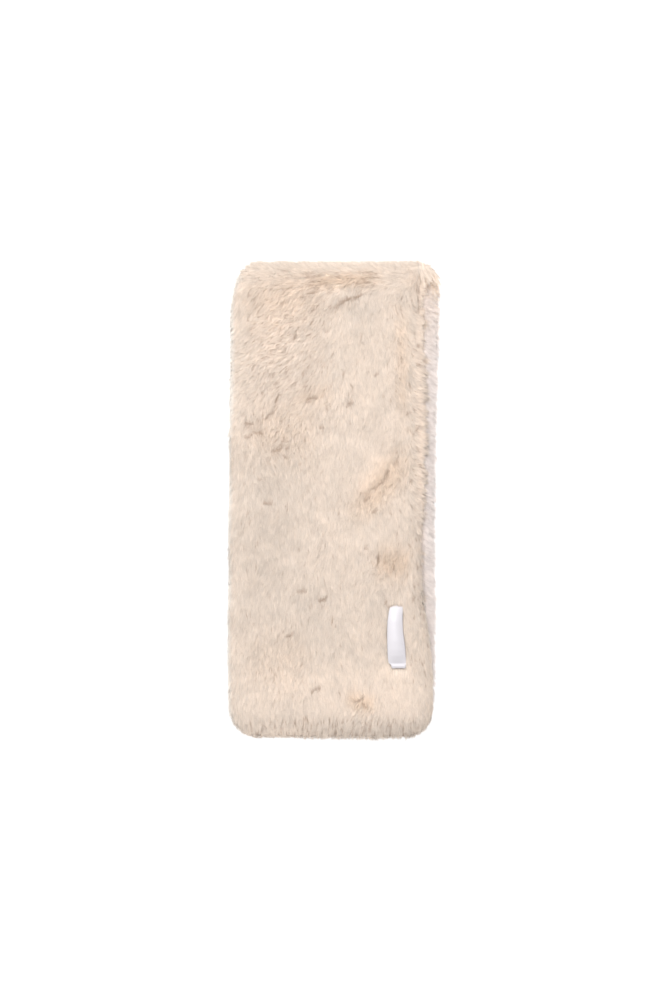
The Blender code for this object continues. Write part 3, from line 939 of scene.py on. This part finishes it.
def tufts_on(wanted, count, chance):
    """Tufts at random on the wanted faces: where each stands, how it lies, and where it ends."""
    root, up = pelt.scattered(count, chance, wanted)
    way = brushed(root, up)
    on_strip = on_pale_strip(root, up)
    ruffled = lie.read(lie.ruffled, root)[:, None] + STRIP_RUFFLED * on_strip[:, None]
    turn = chance.normal(0, 1, (count, 1)) * (TUFT_TURN + RUFFLE.turn * ruffled)
    way = unit(way + turn * np.cross(up, way))
    corner = over_corner(root, up)[:, None]
    over = np.maximum(outward(root)[:, None], corner)
    across_groove = unit(np.array([LOCK_FACE])) * (1 - corner) + unit(np.array([CORNER_FACE])) * corner
    lock = 1 + LOCK_UNEVEN * soft_noise(root * LOCK_SQUEEZE, LOCK_SIZE, 5)[:, None] * (1 - corner)
    lock *= np.interp(root[:, 2:], LOCK_HEIGHTS, LOCK_LENGTHS) * (1 - corner) + CORNER_LOCK * corner
    length = FIBRE_LENGTH * chance.uniform(*UNEVEN, (count, 1)) * (1 + RUFFLE.length * ruffled)
    length = length * (1 - over) + FIBRE_LENGTH * lock * over
    free = root + way * length
    end, end_up = pelt.nearest(free)
    loose = LOOSE + (LOOSE_END - LOOSE) * np.maximum(-end_up[:, 1:2], 0)
    loose *= 1 - WORN * eased(-root[:, :1], *WORN_ACROSS) * (end_up[:, 1:2] < WORN_FACING)
    loose = loose * (1 - abs(end_up[:, 2:])) * chance.random((count, 1))
    end = end + (free - end) * np.maximum(over, loose)
    end_up = unit(end_up * (1 - over) + across_groove * over)
    face = unit(up * (1 - over) + across_groove * over)
    lifted = chance.normal(0, LIFT_CHANCE, count) * (1 + RUFFLE.lift * ruffled[:, 0])
    gather = chance.uniform(*GATHERED, (count, 1)) * (1 + RUFFLE.gather * ruffled)
    gather *= 0.5 + 0.5 * abs(end_up[:, 2:])
    tone = chance.uniform(-TUFT_TONE, TUFT_TONE, count) + STRIP_TONE * on_strip
    tone += BRIGHTER * (chance.random(count) < BRIGHT_TUFTS)
    rim = chance.random(count) ** 3
    return Tufts(root, up, way, ruffled, on_strip, end, end_up, face, lifted, gather, tone, rim)


def rim_of(tips, out):
    """How far the longest fibres stand out of the wrap's sides, at these tips."""
    upper = tips[:, 2] > CREASE_Z
    rim = RIM_LEFT * np.maximum(-out[:, 0], 0) * np.where(upper, 1, RIM_UNDER)
    rim += np.where(upper, RIM_GROOVE, RIM_RIGHT) * np.maximum(out[:, 0], 0)
    worn = 1 - WORN * eased(-tips[:, 0], *WORN_ACROSS)
    rim += RIM_END * worn * np.maximum(-out[:, 1], 0) + RIM_FOLD * np.maximum(out[:, 1], 0)
    return rim


def fibres_of(tufts, chance):
    """The tufts' fibres: root, tip, how much a cleft or the label leaves of each, and its tuft."""
    tuft = np.repeat(np.arange(len(tufts.root)), FIBRES)
    count = len(tuft)
    spread = TUFT_SPREAD * (1 + RUFFLE.spread * tufts.ruffled[tuft])
    across = spread * chance.normal(0, 1, (count, 1))
    along = TUFT_LONGER * spread * chance.normal(0, 1, (count, 1))
    side = unit(np.cross(tufts.up, tufts.way))
    shift = side[tuft] * across + tufts.way[tuft] * along
    low = tufts.root[tuft] + shift
    high = tufts.end[tuft] + shift * tufts.gather[tuft]
    high[:, 0] += lie.read(lie.push_x, high)
    high[:, 1] += lie.read(lie.push_y, high)
    out = tufts.end_up[tuft]
    rim = rim_of(high, out)
    above = chance.normal(TIP_LIFT, LIFT_CHANCE, count) + tufts.lifted[tuft]
    above += rim * (RIM_LEAST + (1 - RIM_LEAST) * chance.random(count)) * tufts.rim[tuft]
    above += lie.read(lie.height, high) - CLEFT_DEPTH * lie.read(lie.deep, high)
    high += out * above[:, None]

    shares = np.linspace(*CUT_SHARES)
    deep = np.stack([lie.read(lie.deep, low + (high - low) * share) for share in shares], axis=1)
    met = (deep > CUT_DEEP) & (chance.random((count, 1)) < CUT_CHANCE)
    cut = np.where(met.any(axis=1), shares[met.argmax(axis=1)], 1.0)
    above_label = over_label(high) & (low[:, 1] > LABEL_TOP)
    fall = np.maximum(low[:, 1] - high[:, 1], 0.0001)
    lap = (low[:, 1] - LABEL_TOP + LABEL_LAP * chance.random(count)) / fall
    cut = np.where(above_label, np.minimum(cut, lap), cut)
    high = low + (high - low) * np.minimum(cut, 1.0)[:, None]
    kept = ~over_label(low) & (~over_label(high) | above_label)
    return low[kept], high[kept], cut[kept], tuft[kept]


def fibre_mesh(name, points):
    """One mesh with a thin triangle for each fibre."""
    count = len(points)
    mesh = bpy.data.meshes.new(name)
    mesh.vertices.add(count * 3)
    mesh.vertices.foreach_set("co", points.reshape(-1).astype(np.float32))
    mesh.loops.add(count * 3)
    mesh.loops.foreach_set("vertex_index", np.arange(count * 3, dtype=np.int32))
    mesh.polygons.add(count)
    mesh.polygons.foreach_set("loop_start", np.arange(0, count * 3, 3, dtype=np.int32))
    mesh.update(calc_edges=True)
    return mesh


def marks_of(low, high, cut, tone, on_strip, out):
    """What a fibre's corners tell its material: place on its ramp, raised by painted light on the
    sides, tone with painted light and shade, depth in clefts for their painted shade, warmth.
    """
    marks = np.zeros((len(high), 3, 4))
    x, y = high.T[:2, :, None]
    # pale is painted light where fibres face aside and along the left side: paler roots, and tips that
    # reach the pale wisp
    pale = eased(abs(out[:, :1]), *PALE_FACING) * np.where(x < 0, 1, PALE_RIGHT) * (y < FOLD_Y)
    pale = np.maximum(pale, PAINTED_LIGHT_EDGE * (1 - eased(x, *PALE_ACROSS)) * (y < FOLD_Y))
    marks[..., 0] = pale * PAINTED_LIGHT_ROOT
    marks[:, 2, 0] = (BODY + (1 - BODY) * pale)[:, 0]
    marks[..., 1] = ((tone * painted_light(high) - TONES[0]) / (TONES[1] - TONES[0]))[:, None]
    # clefts and cut tips go towards the sunk colour: painted shade, partly the deep pile's own colour
    marks[..., 2] = CUT_SHADE * lie.read(lie.deep, low)[:, None]
    marks[:, 2, 2] = np.maximum(lie.read(lie.deep, high), CUT_SHADE * (cut < 1))
    warm = STRIP_WARM * np.maximum(1 - eased(x, *STRIP_COOL), eased(y, *STRIP_WARM_FROM))
    marks[..., 3] = np.maximum(lie.read(lie.warm, high), warm[:, 0] * on_strip)[:, None]
    return marks


def pile_piece(name, count, wanted, seed, slot, finish):
    """One joined mesh of fibres, in this many tufts on the wanted faces of the pelt."""
    chance = np.random.default_rng(seed)
    tufts = tufts_on(wanted, count, chance)
    low, high, cut, tuft = fibres_of(tufts, chance)
    out, face, on_strip = tufts.end_up[tuft], tufts.face[tuft], tufts.on_strip[tuft]
    root = low - tufts.up[tuft] * ROOT_DEPTH
    rolled = np.clip(chance.normal(0, FIBRE_ROLL[0], len(tuft)), -FIBRE_ROLL[1], FIBRE_ROLL[1])[:, None]
    lying = unit(high - root)
    flat = unit(np.cross(lying, face))
    flat = flat * np.cos(rolled) - np.cross(lying, flat) * np.sin(rolled)
    half = flat * FIBRE_WIDTH / 2 * chance.uniform(*UNEVEN, len(tuft))[:, None]
    points = np.stack([root - half, root + half, high], axis=1)
    points[..., 2] = np.maximum(points[..., 2], FLOOR_GAP)
    mesh = fibre_mesh(name, points)

    shade = chance.integers(0, 3, len(tuft))
    tone = 1 + tufts.tone[tuft] + FIBRE_TONE * (shade - 1)
    marks = marks_of(low, high, cut, tone, on_strip, out)
    fibre = mesh.attributes.new("fibre", "FLOAT_COLOR", "POINT")
    fibre.data.foreach_set("color", marks.reshape(-1).astype(np.float32))

    own = unit(np.cross(points[:, 1] - points[:, 0], points[:, 2] - points[:, 0]))
    tilted = unit(face + out)
    tilted[:, 2] += SIDE_LIFT * (1 - abs(out[:, 2])) + STRIP_LIFT * on_strip
    tilted[:, 0] -= lie.read(lie.slope_x, high)
    tilted[:, 1] -= lie.read(lie.slope_y, high)
    share = SURFACE_SHARE * (1 + RUFFLE.surface * tufts.ruffled[tuft])
    shaded = unit(own + share * unit(tilted))
    shaded = np.where((shaded * own).sum(axis=1, keepdims=True) > SHADED_LEAST, shaded, own)
    mesh.shade_smooth()
    mesh.normals_split_custom_set_from_vertices(np.repeat(shaded, 3, axis=0).astype(np.float32))

    cells = int(np.ceil(np.sqrt(count)))
    origin = np.stack([tuft % cells, tuft // cells], axis=1)[:, None, :]
    column = np.stack([shade / 3, np.zeros(len(tuft))], axis=1)[:, None, :]
    uv = (origin + CELL_CORNERS + column) / cells
    mesh.uv_layers.new(name="OFBake")
    mesh.uv_layers["OFBake"].data.foreach_set("uv", uv.reshape(-1).astype(np.float32))

    piece = linked(name, mesh)
    mesh.materials.append(finish)
    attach(piece, "root")
    return piece


tones = fur_tone()
pelt = Pelt(["outer_panel", "inner_panel"])
x, y, z = pelt.middle.T
look = pelt.cross[:, 2] / (2 * pelt.area)
on_top = (z > TOP_Z) & (look > LEVEL)
below = (z < UNDER_Z) & (look < -LEVEL)
upper_side = ~on_top & ~below & ((z > CREASE_Z) | (y > STRIP_TOP))
lower_side = ~on_top & ~below & ~upper_side
strip = lower_side & (x > DENSE_X) & (look > DENSE_FACING)
lower_side = lower_side * (1 + DENSER * strip + DENSER * (strip & (y > DENSE_Y)))
# each fur's root, body, wisp and sunk colours: the wisp is light painted on the sides, the sunk colour
# painted shade in clefts, partly the deep pile's own
outer_pile = fur_finish(
    "outer_pile", ((0.84, 0.75, 0.665), (0.89, 0.805, 0.723), (0.95, 0.93, 0.9), (0.52, 0.39, 0.3)))
# the inner fur is cooler than the outer, and its colours are also painted paler, as light to make up
# for the shade of the upper half on the strip
inner_pile = fur_finish(
    "inner_pile", ((0.86, 0.79, 0.74), (0.94, 0.885, 0.858), (0.96, 0.93, 0.92), (0.56, 0.46, 0.39)))
piles = [pile_piece(*row) for row in (
    ("pile_upper_left", 13800, on_top & (x < -THIRD_X), 11, "outer_fur", outer_pile),
    ("pile_upper_middle", 13800, on_top & (abs(x) <= THIRD_X), 12, "outer_fur", outer_pile),
    ("pile_upper_right", 13800, on_top & (x > THIRD_X), 13, "outer_fur", outer_pile),
    ("pile_upper_sides", 12000, upper_side, 14, "outer_fur", outer_pile),
    ("pile_lower_sides", 8000, lower_side, 15, "inner_fur", inner_pile),
    ("pile_underside", 6600, below, 16, "outer_fur", outer_pile),
)]
